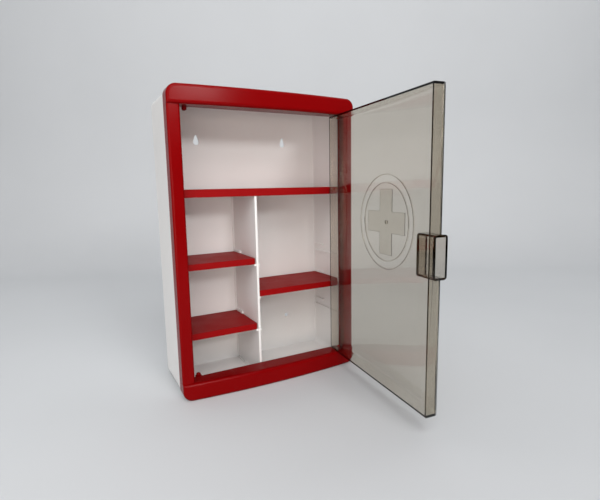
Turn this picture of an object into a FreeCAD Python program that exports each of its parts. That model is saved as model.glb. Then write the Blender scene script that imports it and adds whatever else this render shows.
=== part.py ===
"""First aid cabinet: moulded case, front frame, shelves and a bowed swing door.

Sizes are in millimetres. X runs to the right, Y runs into the cabinet and Z runs up.
Each piece is drawn with Y = 0 on the front face of the frame's uprights and Z = 0 on
the base, and then moved so that the middle of the base is the origin.
The door is drawn shut and turned open about its pins.
"""
import FreeCAD
import Part
import os
import re
import Sketcher

Vector = FreeCAD.Vector

SIZES = {
    # whole cabinet
    "cabinet_width": 300,
    "cabinet_height": 448,
    "cabinet_depth": 124,
    # front frame
    "frame_depth": 20,
    "frame_corner": 14,
    "frame_wall": 2.5,
    "frame_front_wall": 3,
    "stile_width": 18,
    "stile_edge": 3,
    "rail_height": 26.5,
    "rail_proud": 3,
    "rail_edge": 4.5,
    "rail_bow": 8.5,
    "skirt_trim": 6,
    "boss_diameter": 10,
    "catch_height": 9,
    "catch_proud": 0.6,
    "catch_radius": 3,
    "catch_set_back": 14,
    # case
    "case_wall": 2.5,
    "case_back_edge": 5,
    "fit_gap": 0.3,
    "rib_front": 24,
    "rib_length": 92,
    "rib_width": 3,
    "rib_height": 3,
    "hold_length": 28,
    "hold_gap": 0.3,
    "level_first": 82,
    "level_pitch": 53.2,
    "level_count": 3,
    "channel_rib": 2,
    "channel_height": 3,
    "channel_gap": 0.2,
    "channel_front": 30,
    # wall holes
    "keyhole_spacing": 158,
    "keyhole_drop": 63.5,
    "keyhole_head": 9.5,
    "keyhole_neck": 3.5,
    "keyhole_rise": 9.8,
    "lower_hole_spacing": 160,
    "lower_hole_level": 65,
    "lower_hole_diameter": 7,
    # shelves and divider
    "shelf_height": 9.5,
    "shelf_wall": 2,
    "shelf_corner": 4,
    "shelf_edge": 1,
    "shelf_front": 23.5,
    "shelf_side_gap": 0.5,
    "shelf_back_gap": 0.5,
    "upper_shelf_height": 11.6,
    "upper_shelf_front": 21,
    "upper_rib_level": 295.7,
    "divider_offset": 18,
    "divider_wall": 3.5,
    "divider_front": 22,
    "divider_step_gap": 0.5,
    # door
    "door_side_gap": 1.3,
    "door_end_gap": 1.5,
    "door_set_back": 0.5,
    "door_depth": 18,
    "door_wall": 2.5,
    "door_edge": 5,
    "door_bow": 7,
    "door_angle": 83.5,
    # pins: two carry the door and two stop it
    "pin_inset": 8,
    "pin_set_back": 7,
    "pin_diameter": 7,
    "pin_reach": 5,
    "pin_dome": 2,
    "pin_seat": 9,
    "pin_seat_gap": 0.05,
    "pivot_gap": 0.08,
    "stop_inset": 11,
    "stop_gap": 0.5,
    # finger pull
    "handle_length": 31.5,
    "handle_height": 53.7,
    "handle_depth": 20,
    "handle_proud": 6.5,
    "handle_wall": 3,
    "handle_corner": 4,
}

# Places that several pieces share, written in terms of the sizes above.
HALF_WIDTH = "cabinet_width / 2"
OPENING_HALF = "(cabinet_width / 2 - stile_width)"
OPENING_BOTTOM = "rail_height"
OPENING_TOP = "(cabinet_height - rail_height)"
CASE_HALF = "(cabinet_width / 2 - frame_wall - fit_gap)"
CASE_TOP = "(cabinet_height - frame_wall - fit_gap)"
CASE_CORNER = "(frame_corner - frame_wall - fit_gap)"
CASE_INNER_HALF = f"({CASE_HALF} - case_wall)"
CASE_INNER_BACK = "(cabinet_depth - case_wall)"
DOOR_HALF = f"({OPENING_HALF} - door_side_gap)"
DOOR_BOTTOM = f"({OPENING_BOTTOM} + door_end_gap)"
DOOR_TOP = f"({OPENING_TOP} - door_end_gap)"
DOOR_MIDDLE = "cabinet_height / 2"
DOOR_REAR = "(door_set_back + door_depth)"
PIN_X = f"({OPENING_HALF} - pin_inset)"
STOP_X = f"(stop_inset - {OPENING_HALF})"
STOP_DEPTH = f"({DOOR_REAR} + stop_gap + pin_diameter / 2)"
SHELF_REAR = f"({CASE_INNER_BACK} - channel_height - shelf_back_gap)"
UPPER_SHELF_UNDER = "(upper_rib_level + upper_shelf_height - shelf_wall)"

doc = FreeCAD.newDocument("first_aid_cabinet")
sheet = doc.addObject("Spreadsheet::Sheet", "sizes")
for row, (alias, size) in enumerate(SIZES.items(), start=1):
    sheet.set(f"A{row}", alias)
    sheet.set(f"B{row}", str(size))
    sheet.setAlias(f"B{row}", alias)
doc.recompute()


def bound(text):
    """Turn a formula in size names into one that reads the sheet."""
    def sheet_name(word):
        return "sizes." + word.group() if word.group() in SIZES else word.group()
    return re.sub(r"[a-z_]+", sheet_name, text)


def value(text):
    """Work out a formula in size names."""
    return float(sheet.evalExpression(bound(text)))


def circle_radius(half_chord, rise):
    """Formula for the radius of an arc with this half chord and rise."""
    return f"(({half_chord})^2 + ({rise})^2) / (2 * ({rise}))"


def new_body(label):
    body = doc.addObject("PartDesign::Body", label)
    body.Label = label
    return body


def origin_part(body, role):
    return next(part for part in body.Origin.OriginFeatures if part.Role == role)


def new_sketch(body, name, plane, offset="0"):
    """Sketch on one of the body's own planes, moved along the plane's normal."""
    sketch = body.newObject("Sketcher::SketchObject", name)
    sketch.AttachmentSupport = [(origin_part(body, plane), "")]
    sketch.MapMode = "FlatFace"
    sketch.setExpression("AttachmentOffset.Base.z", bound(offset))
    return sketch


def fix_number(sketch, constraint, formula):
    index = sketch.addConstraint(constraint)
    sketch.setExpression(f"Constraints[{index}]", bound(formula))


def fix_point(sketch, geometry, end, x, y):
    fix_number(sketch, Sketcher.Constraint("DistanceX", -1, 1, geometry, end, value(x)), x)
    fix_number(sketch, Sketcher.Constraint("DistanceY", -1, 1, geometry, end, value(y)), y)


def arc_between(start, end, radius):
    """Arc of less than half a turn that bulges to the right of start to end."""
    chord = end - start
    half = chord.Length / 2
    right = Vector(chord.y, -chord.x, 0).normalize()
    rise = radius - max(radius ** 2 - half ** 2, 0) ** 0.5
    return Part.Arc(start, (start + end) / 2 + right * rise, end)


def outline(sketch, corners, rounds=None):
    """Closed outline, anticlockwise. rounds gives the radius of the sides that are arcs."""
    rounds = rounds or {}
    points = [Vector(value(x), value(y), 0) for x, y in corners]
    ends = []
    for side, start in enumerate(points):
        finish = points[(side + 1) % len(points)]
        if side in rounds:
            geometry = sketch.addGeometry(arc_between(start, finish, value(rounds[side])), False)
            distances = [(sketch.getPoint(geometry, end) - start).Length for end in (1, 2)]
            first = 1 if distances[0] < distances[1] else 2
        else:
            geometry = sketch.addGeometry(Part.LineSegment(start, finish), False)
            first = 1
        ends.append((geometry, first, 3 - first))
    for side, (geometry, first, last) in enumerate(ends):
        following = ends[(side + 1) % len(ends)]
        sketch.addConstraint(Sketcher.Constraint("Coincident", geometry, last, following[0], following[1]))
        fix_point(sketch, geometry, first, *corners[side])
        if side in rounds:
            fix_number(sketch, Sketcher.Constraint("Radius", geometry, value(rounds[side])), rounds[side])


def rectangle(sketch, left, right, low, high):
    outline(sketch, [(left, low), (right, low), (right, high), (left, high)])


def rounded_rectangle(sketch, left, right, low, high, radius):
    corners = [
        (f"{left} + {radius}", low), (f"{right} - {radius}", low),
        (right, f"{low} + {radius}"), (right, f"{high} - {radius}"),
        (f"{right} - {radius}", high), (f"{left} + {radius}", high),
        (left, f"{high} - {radius}"), (left, f"{low} + {radius}"),
    ]
    outline(sketch, corners, {1: radius, 3: radius, 5: radius, 7: radius})


def circle(sketch, x, y, radius):
    centre = Vector(value(x), value(y), 0)
    geometry = sketch.addGeometry(Part.Circle(centre, Vector(0, 0, 1), value(radius)), False)
    fix_point(sketch, geometry, 3, x, y)
    fix_number(sketch, Sketcher.Constraint("Radius", geometry, value(radius)), radius)


def pad(body, sketch, length, flip=False):
    feature = body.newObject("PartDesign::Pad", sketch.Name + "_pad")
    feature.Profile = sketch
    feature.Reversed = flip
    feature.setExpression("Length", bound(length))
    doc.recompute()
    return feature


def pocket(body, sketch, length, flip=False):
    feature = body.newObject("PartDesign::Pocket", sketch.Name + "_cut")
    feature.Profile = sketch
    feature.Reversed = flip
    feature.setExpression("Length", bound(length))
    doc.recompute()
    return feature


def edges_where(feature, test):
    """Names of the edges whose end points and middle all pass the test."""
    names = []
    for number, edge in enumerate(feature.Shape.Edges, start=1):
        middle = edge.valueAt((edge.FirstParameter + edge.LastParameter) / 2)
        points = [vertex.Point for vertex in edge.Vertexes] + [middle]
        if all(test(point) for point in points):
            names.append(f"Edge{number}")
    return names


def near(first, second):
    return abs(first - second) < 1e-4


def round_edges(body, feature, name, radius, test):
    fillet = body.newObject("PartDesign::Fillet", name)
    fillet.Base = (feature, edges_where(feature, test))
    fillet.setExpression("Radius", bound(radius))
    doc.recompute()
    return fillet


def hollow(body, feature, name, wall, direction):
    """Shell the solid inwards, open at the flat face that looks in the given direction."""
    flat = [
        (face.CenterOfMass.dot(direction), number)
        for number, face in enumerate(feature.Shape.Faces, start=1)
        if face.Surface.TypeId == "Part::GeomPlane" and near(face.normalAt(0, 0).dot(direction), 1)
    ]
    shell = body.newObject("PartDesign::Thickness", name)
    shell.Base = (feature, [f"Face{max(flat)[1]}"])
    shell.Reversed = True
    shell.setExpression("Value", bound(wall))
    doc.recompute()
    return shell


def place(body, x="0", y="0", z="0"):
    """Move a drawn piece into the frame whose origin is the middle of the base."""
    body.setExpression("Placement.Base.x", bound(x))
    body.setExpression("Placement.Base.y", bound(f"{y} - cabinet_depth / 2"))
    body.setExpression("Placement.Base.z", bound(z))


def place_open(body):
    """Turn a door piece about the pins and move it with the rest of the cabinet."""
    body.Placement.Rotation = FreeCAD.Rotation(Vector(0, 0, 1), value("door_angle"))
    body.setExpression("Placement.Rotation.Angle", bound("door_angle"))
    place(
        body,
        f"{PIN_X} * (1 - cos(door_angle)) + pin_set_back * sin(door_angle)",
        f"pin_set_back * (1 - cos(door_angle)) - {PIN_X} * sin(door_angle)",
    )


def bowed_plan(sketch, half, rear, front, bow):
    """Plan with a flat rear and a front that bows forward between its ends."""
    corners = [(f"-{half}", front), (half, front), (half, rear), (f"-{half}", rear)]
    outline(sketch, corners, {0: circle_radius(half, bow)})


def add_rail(body, name, low, outer_level):
    """Bar with a bowed front, rounded outer corners and rounded front edges."""
    sketch = new_sketch(body, name, "XY_Plane", low)
    bowed_plan(sketch, HALF_WIDTH, "frame_depth", "-rail_proud", "rail_bow")
    bar = pad(body, sketch, "rail_height")
    half = value(HALF_WIDTH)
    level = value(outer_level)
    bar = round_edges(
        body, bar, name + "_corners", "frame_corner",
        lambda point: near(abs(point.x), half) and near(point.z, level),
    )
    front = value("-rail_proud")
    bottom = value(low)
    top = bottom + value("rail_height")
    return round_edges(
        body, bar, name + "_edges", "rail_edge",
        lambda point: point.y < front + 1e-4 and bottom - 1e-4 < point.z < top + 1e-4,
    )


def build_frame():
    body = new_body("front_frame")
    add_rail(body, "bottom_rail", "0", "0")
    add_rail(body, "top_rail", OPENING_TOP, "cabinet_height")

    uprights = new_sketch(body, "uprights", "XY_Plane", "frame_corner")
    for left, right in ((f"-{HALF_WIDTH}", f"-{OPENING_HALF}"), (OPENING_HALF, HALF_WIDTH)):
        corners = [
            (f"{left} + stile_edge", "0"), (f"{right} - stile_edge", "0"),
            (right, "stile_edge"), (right, "frame_depth"),
            (left, "frame_depth"), (left, "stile_edge"),
        ]
        outline(uprights, corners, {1: "stile_edge", 5: "stile_edge"})
    pad(body, uprights, "cabinet_height - 2 * frame_corner")

    # Hollow behind the front wall: the rim of the case sits in it, flush with the base.
    channel = new_sketch(body, "rim_channel", "XZ_Plane", "-frame_front_wall")
    rounded_rectangle(
        channel, f"-{CASE_HALF} - fit_gap", f"{CASE_HALF} + fit_gap",
        "-fit_gap", f"{CASE_TOP} + fit_gap", f"({CASE_CORNER} + fit_gap)",
    )
    inner = f"({OPENING_HALF} + frame_wall)"
    rectangle(channel, f"-{inner}", inner, f"{OPENING_BOTTOM} - frame_wall", f"{OPENING_TOP} + frame_wall")
    pocket(body, channel, "frame_depth")

    # The side skirts end a little above the base, where the corners would thin out.
    trim = new_sketch(body, "skirt_ends", "XZ_Plane", "-frame_front_wall")
    rectangle(trim, f"-{HALF_WIDTH} - frame_wall", f"{HALF_WIDTH} + frame_wall", "-frame_wall", "skirt_trim")
    pocket(body, trim, "frame_depth")

    # The bowed part of each rail is hollow too.
    for name, low in (("bottom_rail", "0"), ("top_rail", OPENING_TOP)):
        cavity = new_sketch(body, name + "_hollow", "XY_Plane", f"{low} + frame_wall")
        bowed_plan(
            cavity, OPENING_HALF, "frame_front_wall + frame_wall", "frame_wall - rail_proud", "rail_bow",
        )
        pocket(body, cavity, "rail_height - 2 * frame_wall", flip=True)

    # Bosses and holes for the four pins.
    for name, start, flip in (("bottom_pin", OPENING_BOTTOM, True), ("top_pin", OPENING_TOP, False)):
        boss = new_sketch(body, name + "_boss", "XY_Plane", start)
        hole = new_sketch(body, name + "_hole", "XY_Plane", start)
        for x, depth in ((STOP_X, STOP_DEPTH), (PIN_X, "pin_set_back")):
            circle(boss, x, depth, "boss_diameter / 2")
            circle(hole, x, depth, "pin_diameter / 2 + pin_seat_gap")
        pad(body, boss, "pin_seat + frame_wall", flip)
        pocket(body, hole, "pin_seat", not flip)

    # Low rounded catches, halfway up the inner side of each upright.
    catches = new_sketch(body, "catches", "XY_Plane", "(cabinet_height - catch_height) / 2")
    reach = "sqrt(2 * catch_radius * catch_proud - catch_proud^2)"
    before = f"catch_set_back - {reach}"
    behind = f"catch_set_back + {reach}"
    for face, start, finish in ((f"-{OPENING_HALF}", before, behind), (OPENING_HALF, behind, before)):
        outline(catches, [(face, start), (face, finish)], {0: "catch_radius"})
    pad(body, catches, "catch_height")
    return body


def shelf_level(step):
    """Level of the underside of a small shelf, counted in steps from the lowest."""
    return f"(level_first + {step} * level_pitch)"


def repeat_levels(body, features):
    """Repeat shelf supports upwards, once for each level."""
    pattern = body.newObject("PartDesign::LinearPattern", "levels")
    pattern.Originals = features
    pattern.Direction = (origin_part(body, "Z_Axis"), [""])
    pattern.setExpression("Length", bound("level_pitch * (level_count - 1)"))
    pattern.setExpression("Occurrences", bound("level_count"))
    body.Tip = pattern
    doc.recompute()


def add_supports(body, name, strips, level):
    """Ribs that a shelf slides onto, with short ribs above that hold its rear end down."""
    ribs = new_sketch(body, name + "_ribs", "XZ_Plane", "-rib_front")
    holds = new_sketch(body, name + "_holds", "XZ_Plane", "hold_length - rib_length - rib_front")
    over = f"({level} + shelf_height + hold_gap)"
    for left, right in strips:
        rectangle(ribs, left, right, f"{level} - rib_height", level)
        rectangle(holds, left, right, over, f"{over} + rib_height")
    return [pad(body, ribs, "rib_length", flip=True), pad(body, holds, "hold_length", flip=True)]


def teardrop(sketch, x, level):
    """Keyhole: a round head that narrows upwards to a small round neck."""
    head = "(keyhole_head / 2)"
    neck = "(keyhole_neck / 2)"
    slope = f"(({head} - {neck}) / keyhole_rise)"
    spread = f"sqrt(1 - {slope}^2)"
    low = f"{level} + {head} * {slope}"
    high = f"{level} + keyhole_rise + {neck} * {slope}"
    corners = [
        (x, f"{level} - {head}"),
        (f"{x} + {head} * {spread}", low),
        (f"{x} + {neck} * {spread}", high),
        (f"{x} - {neck} * {spread}", high),
        (f"{x} - {head} * {spread}", low),
    ]
    outline(sketch, corners, {0: head, 2: neck, 4: head})


def build_case():
    body = new_body("case")
    shell = new_sketch(body, "shell", "XZ_Plane", "-frame_front_wall")
    rounded_rectangle(shell, f"-{CASE_HALF}", CASE_HALF, "0", CASE_TOP, CASE_CORNER)
    block = pad(body, shell, "cabinet_depth - frame_front_wall", flip=True)
    back = value("cabinet_depth")
    block = round_edges(body, block, "back_edges", "case_back_edge", lambda point: near(point.y, back))
    hollow(body, block, "tray", "case_wall", Vector(0, -1, 0))

    inside = f"({CASE_INNER_HALF} - rib_width)"
    root = f"({CASE_INNER_HALF} + case_wall / 2)"
    strips = [(f"-{root}", f"-{inside}"), (inside, root)]
    repeat_levels(body, add_supports(body, "shelf", strips, shelf_level(0)))
    upper = new_sketch(body, "upper_ribs", "XZ_Plane", "-rib_front")
    for left, right in strips:
        rectangle(upper, left, right, "upper_rib_level - rib_height", "upper_rib_level")
    pad(body, upper, "rib_length", flip=True)

    # Channels on the floor and the back that hold the edges of the divider.
    floor_ribs = new_sketch(body, "floor_channel", "XZ_Plane", "-channel_front")
    back_ribs = new_sketch(body, "back_channel", "XZ_Plane", f"channel_height - {CASE_INNER_BACK}")
    near_side = "(divider_wall / 2 + channel_gap)"
    far_side = f"({near_side} + channel_rib)"
    for left, right in ((f"-{far_side}", f"-{near_side}"), (near_side, far_side)):
        span = (f"{left} - divider_offset", f"{right} - divider_offset")
        rectangle(floor_ribs, *span, "case_wall / 2", "case_wall + channel_height")
        rectangle(back_ribs, *span, "case_back_edge", "upper_rib_level - rib_height")
    pad(body, floor_ribs, "cabinet_depth - case_back_edge - channel_front", flip=True)
    pad(body, back_ribs, "channel_height + case_wall / 2", flip=True)

    holes = new_sketch(body, "wall_holes", "XZ_Plane", f"channel_height - {CASE_INNER_BACK}")
    for sign in ("-", ""):
        teardrop(holes, f"{sign}keyhole_spacing / 2", "(cabinet_height - keyhole_drop)")
        circle(holes, f"{sign}lower_hole_spacing / 2", "lower_hole_level", "lower_hole_diameter / 2")
    pocket(body, holes, "channel_height + 2 * case_wall")
    return body


def build_shelf(label, left, right, front, level, height):
    """Shelf: an upturned shallow tray with rounded corners."""
    body = new_body(label)
    plan = new_sketch(body, "plan", "XY_Plane", level)
    rounded_rectangle(plan, left, right, front, SHELF_REAR, "shelf_corner")
    plate = pad(body, plan, height)
    top = value(f"{level} + {height}")
    tray = hollow(body, plate, "underside", "shelf_wall", Vector(0, 0, -1))
    round_edges(body, tray, "top_edges", "shelf_edge", lambda point: near(point.z, top))
    return body


def build_divider():
    """Upright wall with shelf supports on both sides, stepped at the top round the upper shelf."""
    body = new_body("divider")
    side = new_sketch(body, "side", "YZ_Plane", "-divider_offset - divider_wall / 2")
    rear_step = f"{SHELF_REAR} - shelf_wall - divider_step_gap"
    front_step = "upper_shelf_front + shelf_wall + divider_step_gap"
    corners = [
        ("divider_front", "case_wall"),
        (f"{CASE_INNER_BACK} - case_back_edge", "case_wall"),
        (CASE_INNER_BACK, "case_wall + case_back_edge"),
        (CASE_INNER_BACK, "upper_rib_level - fit_gap"),
        (rear_step, "upper_rib_level - fit_gap"),
        (rear_step, UPPER_SHELF_UNDER),
        (front_step, UPPER_SHELF_UNDER),
        (front_step, "upper_rib_level - fit_gap"),
        ("divider_front", "upper_rib_level - fit_gap"),
    ]
    outline(side, corners, {1: "case_back_edge"})
    pad(body, side, "divider_wall")
    reach = "(divider_wall / 2 + rib_width)"
    for step, left_reach in ((0, reach), (1, "0"), (2, reach)):
        strip = (f"-divider_offset - {left_reach}", f"-divider_offset + {reach}")
        add_supports(body, f"level_{step}", [strip], shelf_level(step))
    return body


def pull_outline(sketch, inset):
    """Rounded outline of the finger pull, seen from the free side of the door."""
    rounded_rectangle(
        sketch, f"({inset} - handle_proud)", f"(handle_depth - handle_proud - {inset})",
        f"({DOOR_MIDDLE} - handle_height / 2 + {inset})", f"({DOOR_MIDDLE} + handle_height / 2 - {inset})",
        f"(handle_corner - {inset})",
    )


def build_door():
    """Door: a clear tray with a bowed front, open at the rear and rounded all round."""
    body = new_body("door")
    height = f"({DOOR_TOP} - {DOOR_BOTTOM})"
    plan = new_sketch(body, "plan", "XY_Plane", DOOR_BOTTOM)
    bowed_plan(plan, DOOR_HALF, DOOR_REAR, "door_set_back", "door_bow")
    block = pad(body, plan, height)
    front = value("door_set_back")
    block = round_edges(body, block, "front_edges", "door_edge", lambda point: point.y < front + 1e-4)
    hollow(body, block, "tray", "door_wall", Vector(0, 1, 0))

    pivots = new_sketch(body, "pivots", "XY_Plane", DOOR_BOTTOM)
    circle(pivots, PIN_X, "pin_set_back", "pin_diameter / 2 + pivot_gap")
    pocket(body, pivots, height, flip=True)

    seat = new_sketch(body, "pull_seat", "YZ_Plane", f"-{DOOR_HALF}")
    pull_outline(seat, "0")
    pocket(body, seat, "handle_length", flip=True)
    return body


def build_handle():
    """Finger pull: a deep pocket, open at the free edge of the door."""
    body = new_body("door_handle")
    outer = new_sketch(body, "outer", "YZ_Plane", f"-{DOOR_HALF}")
    pull_outline(outer, "0")
    pad(body, outer, "handle_length")
    inner = new_sketch(body, "inner", "YZ_Plane", f"-{DOOR_HALF}")
    pull_outline(inner, "handle_wall")
    pocket(body, inner, "handle_length - handle_wall", flip=True)
    return body


def build_pin(label, x, depth, level, hanging):
    """Domed pin, seated in a rail."""
    body = new_body(label)
    profile = new_sketch(body, "profile", "XZ_Plane")
    radius = "(pin_diameter / 2)"
    corners = [
        ("0", "-pin_seat"),
        (radius, "-pin_seat"),
        (radius, "pin_reach - pin_dome"),
        ("0", "pin_reach"),
    ]
    outline(profile, corners, {2: circle_radius(radius, "pin_dome")})
    turned = body.newObject("PartDesign::Revolution", "turned")
    turned.Profile = profile
    turned.ReferenceAxis = (origin_part(body, "Z_Axis"), [""])
    turned.Angle = 360
    if hanging:
        body.Placement.Rotation = FreeCAD.Rotation(Vector(1, 0, 0), 180)
    place(body, x, depth, level)
    return body


WALL_LEFT = f"(shelf_side_gap - {CASE_INNER_HALF})"
WALL_RIGHT = f"({CASE_INNER_HALF} - shelf_side_gap)"
DIVIDER_LEFT = "(-divider_offset - divider_wall / 2 - shelf_side_gap)"
DIVIDER_RIGHT = "(divider_wall / 2 + shelf_side_gap - divider_offset)"


def build_small_shelf(label, left, right, step):
    return build_shelf(label, left, right, "shelf_front", shelf_level(step), "shelf_height")


def build_upper_shelf():
    return build_shelf(
        "upper_shelf", WALL_LEFT, WALL_RIGHT,
        "upper_shelf_front", "upper_rib_level", "upper_shelf_height",
    )


standing = [
    build_case(),
    build_frame(),
    build_upper_shelf(),
    build_divider(),
    build_small_shelf("left_upper_shelf", WALL_LEFT, DIVIDER_LEFT, 2),
    build_small_shelf("left_lower_shelf", WALL_LEFT, DIVIDER_LEFT, 0),
    build_small_shelf("right_shelf", DIVIDER_RIGHT, WALL_RIGHT, 1),
]
swinging = [build_door(), build_handle()]
pins = [
    build_pin("hinge_pin_bottom", PIN_X, "pin_set_back", OPENING_BOTTOM, False),
    build_pin("hinge_pin_top", PIN_X, "pin_set_back", OPENING_TOP, True),
    build_pin("spare_pin_bottom", STOP_X, STOP_DEPTH, OPENING_BOTTOM, False),
    build_pin("spare_pin_top", STOP_X, STOP_DEPTH, OPENING_TOP, True),
]
for piece in standing:
    place(piece)
for piece in swinging:
    place_open(piece)
doc.recompute()

faulty = [item.Name for item in doc.Objects if "Invalid" in item.State or "Error" in item.State]
if faulty:
    raise RuntimeError("features in error: " + ", ".join(faulty))

os.makedirs("parts", exist_ok=True)
for piece in standing + swinging + pins:
    if piece.Shape.isNull() or not piece.Shape.isValid() or len(piece.Shape.Solids) != 1:
        raise RuntimeError("bad shape: " + piece.Label)
    piece.Shape.exportStep(f"parts/{piece.Label}.step")
    print(piece.Label, round(piece.Shape.Volume), piece.Shape.optimalBoundingBox(False, False))
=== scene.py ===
"""First aid cabinet: finishes, the moulded sign on the door, floor, light and camera."""
import math

import bmesh
import bpy
from mathutils import Matrix, Vector


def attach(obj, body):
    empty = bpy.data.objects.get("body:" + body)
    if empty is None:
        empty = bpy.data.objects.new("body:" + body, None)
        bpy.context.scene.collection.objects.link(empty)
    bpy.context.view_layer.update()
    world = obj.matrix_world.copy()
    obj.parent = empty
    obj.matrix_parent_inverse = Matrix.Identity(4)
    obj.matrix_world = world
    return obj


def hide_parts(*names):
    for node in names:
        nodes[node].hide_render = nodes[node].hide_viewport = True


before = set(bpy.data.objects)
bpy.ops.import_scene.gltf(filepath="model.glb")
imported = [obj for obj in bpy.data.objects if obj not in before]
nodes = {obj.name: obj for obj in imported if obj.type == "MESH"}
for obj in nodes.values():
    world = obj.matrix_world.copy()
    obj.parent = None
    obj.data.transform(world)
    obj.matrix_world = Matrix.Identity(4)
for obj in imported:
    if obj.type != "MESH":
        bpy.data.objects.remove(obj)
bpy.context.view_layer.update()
scene = bpy.context.scene


# Materials

def new_material(name):
    material = bpy.data.materials.new(name)
    material.use_nodes = True
    tree = material.node_tree
    return material, tree, tree.nodes["Principled BSDF"]


def object_noise(tree, scale, detail=3.0, roughness=0.5):
    """Noise fixed to the piece, at a scale in ripples per metre."""
    place = tree.nodes.new("ShaderNodeTexCoord")
    noise = tree.nodes.new("ShaderNodeTexNoise")
    noise.inputs["Scale"].default_value = scale
    noise.inputs["Detail"].default_value = detail
    noise.inputs["Roughness"].default_value = roughness
    tree.links.new(place.outputs["Object"], noise.inputs["Vector"])
    return noise.outputs["Fac"]


def ramp(tree, source, stops):
    """Colours or greys spread over a source value."""
    node = tree.nodes.new("ShaderNodeValToRGB")
    elements = node.color_ramp.elements
    while len(elements) < len(stops):
        elements.new(0.5)
    for element, (position, colour) in zip(elements, stops):
        element.position = position
        element.color = (*colour, 1.0)
    tree.links.new(source, node.inputs["Fac"])
    return node.outputs["Color"]


def grey(level):
    return (level, level, level)


def bump(tree, shader, height, strength, distance):
    node = tree.nodes.new("ShaderNodeBump")
    node.inputs["Strength"].default_value = strength
    node.inputs["Distance"].default_value = distance
    tree.links.new(height, node.inputs["Height"])
    tree.links.new(node.outputs["Normal"], shader.inputs["Normal"])


def moulded_plastic(name, dark, light, roughness, shine, skin_scale, skin_depth):
    """Opaque moulded plastic: faint flow marks, uneven gloss and a fine skin."""
    material, tree, shader = new_material(name)
    shader.inputs["Specular IOR Level"].default_value = shine
    flow = object_noise(tree, scale=7.0)
    tree.links.new(ramp(tree, flow, [(0.3, dark), (0.7, light)]), shader.inputs["Base Color"])
    low, high = roughness
    handling = object_noise(tree, scale=22.0, detail=4.0, roughness=0.6)
    gloss = ramp(tree, handling, [(0.35, grey(low)), (0.7, grey(high))])
    tree.links.new(gloss, shader.inputs["Roughness"])
    skin = object_noise(tree, scale=skin_scale, detail=2.0)
    bump(tree, shader, skin, strength=0.3, distance=skin_depth)
    return material


def smoky_plastic(name, colour, density):
    """Clear plastic, tinted right through, with a faintly rippled polish."""
    material, tree, shader = new_material(name)
    shader.inputs["Base Color"].default_value = (1.0, 1.0, 1.0, 1.0)
    shader.inputs["Transmission Weight"].default_value = 1.0
    shader.inputs["IOR"].default_value = 1.49
    polish = object_noise(tree, scale=60.0, detail=4.0, roughness=0.6)
    gloss = ramp(tree, polish, [(0.35, grey(0.01)), (0.75, grey(0.05))])
    tree.links.new(gloss, shader.inputs["Roughness"])
    ripple = object_noise(tree, scale=14.0, detail=1.0, roughness=0.4)
    bump(tree, shader, ripple, strength=0.15, distance=0.0004)
    tint = tree.nodes.new("ShaderNodeVolumeAbsorption")
    tint.inputs["Color"].default_value = (*colour, 1.0)
    tint.inputs["Density"].default_value = density
    tree.links.new(tint.outputs["Volume"], tree.nodes["Material Output"].inputs["Volume"])
    return material


frame_plastic = moulded_plastic(
    "red_gloss_plastic", dark=(0.18, 0.0006, 0.0011), light=(0.195, 0.0008, 0.0014),
    roughness=(0.16, 0.22), shine=0.06, skin_scale=420.0, skin_depth=0.00003)
shelf_plastic = moulded_plastic(
    "red_satin_plastic", dark=(0.24, 0.0008, 0.0014), light=(0.26, 0.001, 0.0018),
    roughness=(0.46, 0.58), shine=0.1, skin_scale=420.0, skin_depth=0.00003)
case_plastic = moulded_plastic(
    "white_satin_plastic", dark=(0.775, 0.765, 0.75), light=(0.8, 0.79, 0.775),
    roughness=(0.4, 0.48), shine=0.4, skin_scale=520.0, skin_depth=0.00005)
door_plastic = smoky_plastic("smoky_door_plastic", colour=(0.46, 0.365, 0.165), density=200.0)
pull_plastic = smoky_plastic("smoky_pull_plastic", colour=(0.46, 0.37, 0.2), density=180.0)

# The frame and the four pins share the red that isn't listed
FINISHES = {
    "case": case_plastic,
    "divider": case_plastic,
    "upper_shelf": shelf_plastic,
    "left_upper_shelf": shelf_plastic,
    "left_lower_shelf": shelf_plastic,
    "right_shelf": shelf_plastic,
    "door": door_plastic,
    "door_handle": pull_plastic,
}
for name, node in nodes.items():
    node.data.materials.clear()
    node.data.materials.append(FINISHES.get(name, frame_plastic))


# Sign moulded in the bowed outer face of the door: a ring with raised lips, round a raised cross

# The CAD door's own sizes: hinge line, angle at rest, half width, bow and outer face
PIN = Vector((0.124, -0.055, 0.0))
DOOR_ANGLE = math.radians(83.5)
DOOR_HALF = 0.1307
DOOR_BOW = 0.007
DOOR_FRONT = -0.0615
BOW_RADIUS = (DOOR_HALF ** 2 + DOOR_BOW ** 2) / (2 * DOOR_BOW)

# The sign's place on the door, the depth that its forms reach into it, and their sizes
SIGN_LEVEL = 0.2565
SIGN_ACROSS = -0.0025
SIGN_ROOT = -0.0008
RING_INNER, RING_OUTER = 0.0555, 0.0678
RING_STEPS = 128
RING_SINK = 0.0003
LIP_WIDTH = 0.0006
LIP_RISE = 0.0014
CROSS_ARM, CROSS_SPAN = 0.0305, 0.094
CROSS_CUTS = 7
CROSS_RISE = 0.0011
GATE_RADIUS, GATE_TIP_RADIUS = 0.0031, 0.00248
GATE_STEPS = 24
GATE_RISE = 0.003
DRAFT = 0.0005
SEAM_MERGE = 1e-7
WELD = 4e-6
SHARP = 1.0


def link(name, mesh):
    piece = bpy.data.objects.new(name, mesh)
    scene.collection.objects.link(piece)
    return piece


def finish_mesh(shape, name):
    bmesh.ops.recalc_face_normals(shape, faces=shape.faces)
    mesh = bpy.data.meshes.new(name)
    shape.to_mesh(mesh)
    shape.free()
    return mesh


def new_vertices(result):
    return [part for part in result["geom"] if isinstance(part, bmesh.types.BMVert)]


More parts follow.
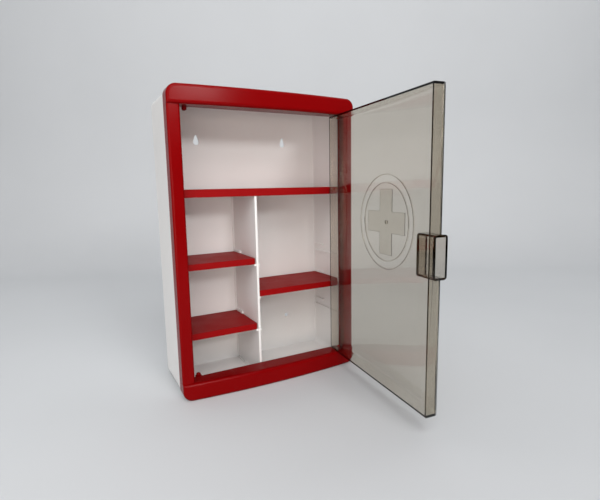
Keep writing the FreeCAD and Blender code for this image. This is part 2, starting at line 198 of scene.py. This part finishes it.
def lay_on_door(shape):
    """Stand a flat relief upright on the bowed face and swing it open with the door."""
    for vertex in shape.verts:
        across, height, rise = vertex.co
        x = across + SIGN_ACROSS
        bowed = DOOR_FRONT - DOOR_BOW + BOW_RADIUS - math.sqrt(BOW_RADIUS ** 2 - x ** 2)
        vertex.co = (x, bowed - rise, height + SIGN_LEVEL)
    turn = Matrix.Rotation(DOOR_ANGLE, 4, "Z")
    bmesh.ops.transform(
        shape, verts=shape.verts, matrix=Matrix.Translation(PIN) @ turn @ Matrix.Translation(-PIN))


def ring_form(name, inner, outer, floor, crest, draft):
    """Ring of flat section, wider at its floor by the draft on each side."""
    shape = bmesh.new()
    profile = [(inner - draft, floor), (outer + draft, floor), (outer, crest), (inner, crest)]
    corners = [shape.verts.new((radius, 0.0, rise)) for radius, rise in profile]
    edges = [shape.edges.new((a, b)) for a, b in zip(corners, corners[1:] + corners[:1])]
    bmesh.ops.spin(
        shape, geom=corners + edges, cent=(0, 0, 0), axis=(0, 0, 1), angle=math.tau,
        steps=RING_STEPS, use_merge=True)
    bmesh.ops.remove_doubles(shape, verts=shape.verts, dist=SEAM_MERGE)
    lay_on_door(shape)
    return finish_mesh(shape, name)


def cross_relief():
    """Raised cross, cut fine enough to follow the bow, with its upper rim eased."""
    shape = bmesh.new()
    bmesh.ops.create_grid(shape, x_segments=1, y_segments=1, size=CROSS_ARM / 2)
    for edge in list(shape.edges):
        outward = (edge.verts[0].co + edge.verts[1].co).normalized()
        tip = new_vertices(bmesh.ops.extrude_edge_only(shape, edges=[edge]))
        bmesh.ops.translate(shape, verts=tip, vec=outward * (CROSS_SPAN - CROSS_ARM) / 2)
    bmesh.ops.subdivide_edges(shape, edges=shape.edges, cuts=CROSS_CUTS, use_grid_fill=True)
    bmesh.ops.translate(shape, verts=shape.verts, vec=(0, 0, SIGN_ROOT))
    top = new_vertices(
        bmesh.ops.extrude_face_region(shape, geom=list(shape.faces), use_keep_orig=True))
    bmesh.ops.translate(shape, verts=top, vec=(0, 0, CROSS_RISE - SIGN_ROOT))
    upper = set(top)
    rim = [
        edge for edge in shape.edges
        if edge.calc_face_angle(0.0) > SHARP and upper.issuperset(edge.verts)]
    bmesh.ops.bevel(
        shape, geom=rim, offset=DRAFT, offset_type="OFFSET", affect="EDGES", segments=2,
        profile=0.5, material=-1)
    lay_on_door(shape)
    return finish_mesh(shape, "cross_relief")


def gate_mark():
    """Low round stub left at the middle of the cross, where the plastic went in."""
    shape = bmesh.new()
    bmesh.ops.create_cone(
        shape, cap_ends=True, segments=GATE_STEPS, radius1=GATE_RADIUS, radius2=GATE_TIP_RADIUS,
        depth=GATE_RISE)
    bmesh.ops.translate(shape, verts=shape.verts, vec=(0, 0, GATE_RISE / 2))
    lay_on_door(shape)
    return finish_mesh(shape, "gate_mark")


def signed_door():
    """The door with its sign, as one closed moulding."""
    shape = bmesh.new()
    shape.from_mesh(nodes["door"].data)
    bmesh.ops.remove_doubles(shape, verts=shape.verts, dist=WELD)
    moulding = link("door_moulding", finish_mesh(shape, "door_moulding"))
    ring = ring_form("ring", RING_INNER, RING_OUTER, SIGN_ROOT, LIP_RISE, DRAFT)
    channel = ring_form(
        "ring_channel", RING_INNER + LIP_WIDTH, RING_OUTER - LIP_WIDTH,
        -RING_SINK, 2 * LIP_RISE, -DRAFT)
    forms = [
        (ring, "UNION"),
        (channel, "DIFFERENCE"),
        (cross_relief(), "UNION"),
        (gate_mark(), "UNION"),
    ]
    tools = []
    for form, operation in forms:
        tool = link(form.name, form)
        tools.append(tool)
        step = moulding.modifiers.new("mould_" + form.name, "BOOLEAN")
        step.operation = operation
        step.solver = "EXACT"
        step.object = tool
    shape = bmesh.new()
    shape.from_object(moulding, bpy.context.evaluated_depsgraph_get())
    bmesh.ops.remove_doubles(shape, verts=shape.verts, dist=WELD)
    bmesh.ops.dissolve_degenerate(shape, dist=WELD, edges=shape.edges)
    moulding.modifiers.clear()
    moulding.data = finish_mesh(shape, "door_moulding")
    moulding.data.materials.append(door_plastic)
    for tool in tools:
        bpy.data.objects.remove(tool)
    return moulding


door_moulding = signed_door()
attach(door_moulding, "door_leaf")
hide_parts("door")


# The camera's eye, heading and lens, solved from the photograph's perspective

EYE = (-0.2818, -0.6698, 0.3093)
HEADING, DROP, ROLL = math.radians(28.4), math.radians(8.32), math.radians(-1.04)
LENS, SENSOR_WIDTH = 26.15, 36.0
NEAREST = 0.01


# Floor and backdrop in one sweep, a dark card, and soft light

SWEEP_WIDTH, SWEEP_DEPTH, SWEEP_HEIGHT = 20.0, 10.0, 4.0
SWEEP_REAR = 1.5
FOLD_RADIUS, FOLD_STEPS = 0.7, 24
FLAG_WIDTH, FLAG_HEIGHT = 1.9, 0.68
FLAG_PLACE = (0.95, -1.45, 0.34)


def studio_sweep():
    """Pale paper that lies under the cabinet and curves up into a wall square to the camera."""
    shape = bmesh.new()
    bmesh.ops.create_grid(shape, x_segments=1, y_segments=1, size=0.5)
    bmesh.ops.scale(shape, verts=shape.verts, vec=(SWEEP_WIDTH, SWEEP_DEPTH, 1.0))
    bmesh.ops.translate(shape, verts=shape.verts, vec=(0, SWEEP_REAR - SWEEP_DEPTH / 2, 0))
    rear = max(shape.edges, key=lambda edge: edge.verts[0].co.y + edge.verts[1].co.y)
    crest = new_vertices(bmesh.ops.extrude_edge_only(shape, edges=[rear]))
    bmesh.ops.translate(shape, verts=crest, vec=(0, 0, SWEEP_HEIGHT))
    fold = [edge for edge in shape.edges if edge.calc_face_angle(0.0) > SHARP]
    bmesh.ops.bevel(
        shape, geom=fold, offset=FOLD_RADIUS, offset_type="OFFSET", affect="EDGES",
        segments=FOLD_STEPS, profile=0.5, material=-1)
    bmesh.ops.rotate(
        shape, verts=shape.verts, cent=(0, 0, 0), matrix=Matrix.Rotation(-HEADING, 3, "Z"))
    mesh = finish_mesh(shape, "studio_sweep")
    mesh.shade_smooth()
    sweep = link("studio_sweep", mesh)
    material, tree, shader = new_material("studio_paper")
    shader.inputs["Roughness"].default_value = 0.8
    fibre = object_noise(tree, scale=3.0)
    shade = ramp(tree, fibre, [(0.3, (0.60, 0.615, 0.63)), (0.7, (0.615, 0.63, 0.645))])
    tree.links.new(shade, shader.inputs["Base Color"])
    mesh.materials.append(material)


def dark_flag():
    """Dark card in front and to the right, unseen itself, that keeps the red faces deep."""
    shape = bmesh.new()
    bmesh.ops.create_grid(shape, x_segments=1, y_segments=1, size=0.5)
    bmesh.ops.scale(shape, verts=shape.verts, vec=(FLAG_WIDTH, FLAG_HEIGHT, 1.0))
    bmesh.ops.rotate(
        shape, verts=shape.verts, cent=(0, 0, 0), matrix=Matrix.Rotation(math.pi / 2, 3, "X"))
    bmesh.ops.translate(shape, verts=shape.verts, vec=FLAG_PLACE)
    mesh = finish_mesh(shape, "dark_flag")
    material, tree, shader = new_material("flag_cloth")
    shader.inputs["Roughness"].default_value = 0.9
    weave = object_noise(tree, scale=400.0, detail=2.0)
    shade = ramp(tree, weave, [(0.3, grey(0.015)), (0.7, grey(0.025))])
    tree.links.new(shade, shader.inputs["Base Color"])
    mesh.materials.append(material)
    flag = link("dark_flag", mesh)
    flag.visible_camera = False


def softbox(name, place, target, width, height, power, colour=(1.0, 1.0, 1.0)):
    data = bpy.data.lights.new(name, "AREA")
    data.shape = "RECTANGLE"
    data.size = width
    data.size_y = height
    data.energy = power
    data.color = colour
    lamp = bpy.data.objects.new(name, data)
    lamp.location = place
    lamp.rotation_mode = "QUATERNION"
    lamp.rotation_quaternion = (Vector(target) - Vector(place)).to_track_quat("-Z", "Y")
    scene.collection.objects.link(lamp)


studio_sweep()
dark_flag()
softbox(
    "high_light", (-0.4, -1.75, 1.9), (0.0, 0.0, 0.25), width=2.0, height=1.4, power=38.0)
softbox(
    "front_light", (-0.85, -2.1, 0.8), (0.0, 0.0, 0.4), width=1.5, height=1.0, power=6.0)
softbox(
    "window_light", (0.18, -2.5, 1.12), (0.0, 0.0, 0.4), width=0.55, height=0.32, power=18.0)
softbox(
    "low_light", (-0.8, -1.7, 0.15), (0.0, 0.0, 0.4), width=1.6, height=0.5, power=9.0,
    colour=(1.0, 0.84, 0.74))
softbox(
    "left_light", (-1.9, -1.0, 0.9), (0.0, 0.0, 0.25), width=1.4, height=1.4, power=10.0)
softbox(
    "wall_light", (0.5, 0.2, 2.8), (1.0, 1.6, 0.6), width=4.0, height=0.8, power=19.0)

world = bpy.data.worlds.new("room")
scene.world = world
world.use_nodes = True
room_light = world.node_tree.nodes["Background"]
room_light.inputs["Color"].default_value = (0.97, 0.98, 1.0, 1.0)
room_light.inputs["Strength"].default_value = 0.28


# Camera

forward = Vector(
    (math.sin(HEADING) * math.cos(DROP), math.cos(HEADING) * math.cos(DROP), -math.sin(DROP)))
level_right = Vector((math.cos(HEADING), -math.sin(HEADING), 0.0))
level_up = level_right.cross(forward)
right = math.cos(ROLL) * level_right + math.sin(ROLL) * level_up
up = math.cos(ROLL) * level_up - math.sin(ROLL) * level_right

camera_data = bpy.data.cameras.new("camera")
camera_data.lens = LENS
camera_data.sensor_width = SENSOR_WIDTH
camera_data.clip_start = NEAREST
camera = bpy.data.objects.new("camera", camera_data)
camera_turn = Matrix((right, up, -forward)).transposed()
camera.matrix_world = Matrix.Translation(EYE) @ camera_turn.to_4x4()
scene.collection.objects.link(camera)
scene.camera = camera

scene.view_settings.view_transform = "Standard"
